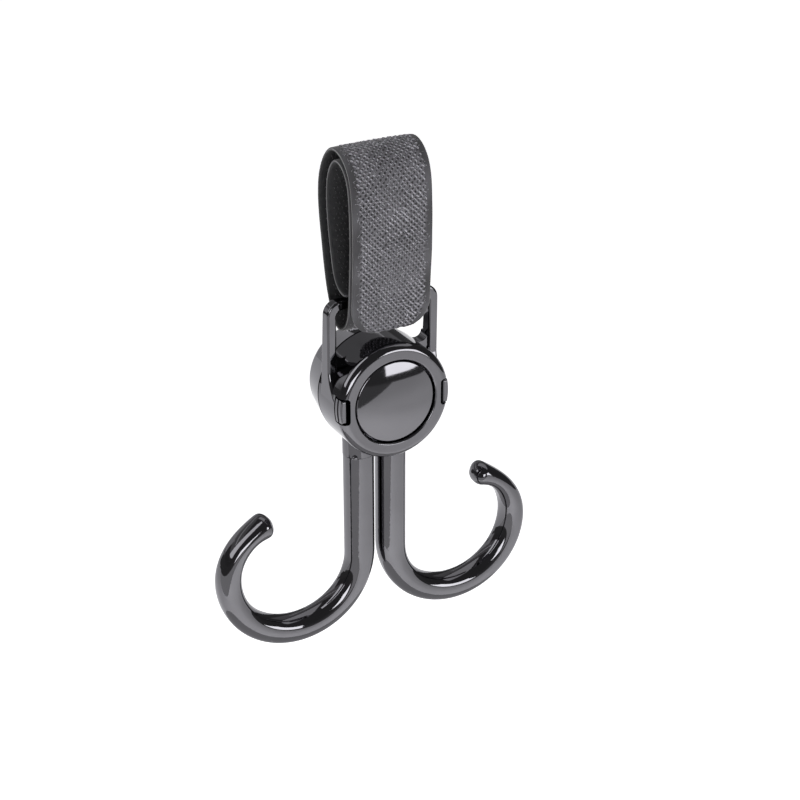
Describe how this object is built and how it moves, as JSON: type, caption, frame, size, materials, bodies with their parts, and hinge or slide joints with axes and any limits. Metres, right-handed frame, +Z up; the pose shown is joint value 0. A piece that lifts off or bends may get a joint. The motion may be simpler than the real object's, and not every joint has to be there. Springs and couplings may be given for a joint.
{
  "type": "strap-on double swivel hook",
  "caption": "Double J-hook hanger: two swivelling hooks under a round hub with a push button, hung from a hook-and-loop strap.",
  "frame": {"origin": "centre of the bar that the strap loops round, at mid width of the strap", "axes": "+X along the bar, to the right seen from the button; +Y from the button to the back; +Z up"},
  "size_m": [0.106, 0.0295, 0.1554],
  "materials": {
    "gunmetal": "plated plastic, dark mirror gloss",
    "inner_plastic": "moulded, matt",
    "steel": "zinc plated",
    "loop_fabric": "knitted loop side of hook-and-loop tape",
    "hook_fabric": "hook side of hook-and-loop tape"
  },
  "bodies": {
    "strap": {"loop_tape": "loop_fabric", "hook_tape": "hook_fabric"},
    "hub": {"main_body": "gunmetal", "bezel_ring": "gunmetal", "rear_cover": "gunmetal", "cover_screws": "steel", "left_socket_bush": "inner_plastic", "right_socket_bush": "inner_plastic"},
    "button": {"button_cap": "gunmetal", "button_plunger": "inner_plastic", "button_spring": "steel", "brake_plate": "inner_plastic", "brake_screw": "steel"},
    "left_hook": {"left_hook": "gunmetal", "left_washer": "steel", "left_retaining_clip": "steel"},
    "right_hook": {"right_hook": "gunmetal", "right_washer": "steel", "right_retaining_clip": "steel"}
  },
  "joints": [
    {"name": "hub_swing", "type": "hinge", "parent": "strap", "child": "hub", "pos_m": [0, -0.00165, -0.0342], "axis": [1, 0, 0], "range_deg": [-45, 45]},
    {"name": "button_press", "type": "slide", "parent": "hub", "child": "button", "axis": [0, 1, 0], "range_m": [0, 0.0015], "stiffness_N_per_m": 600, "springref_m": -0.002, "deforming": ["button_spring"]},
    {"name": "left_hook_swivel", "type": "hinge", "parent": "hub", "child": "left_hook", "pos_m": [-0.0054, 0.0034, -0.0852], "axis": [0, 0, 1], "range_deg": [-90, 90]},
    {"name": "right_hook_swivel", "type": "hinge", "parent": "hub", "child": "right_hook", "pos_m": [0.0054, 0.0034, -0.0852], "axis": [0, 0, -1], "range_deg": [-90, 90]}
  ]
}
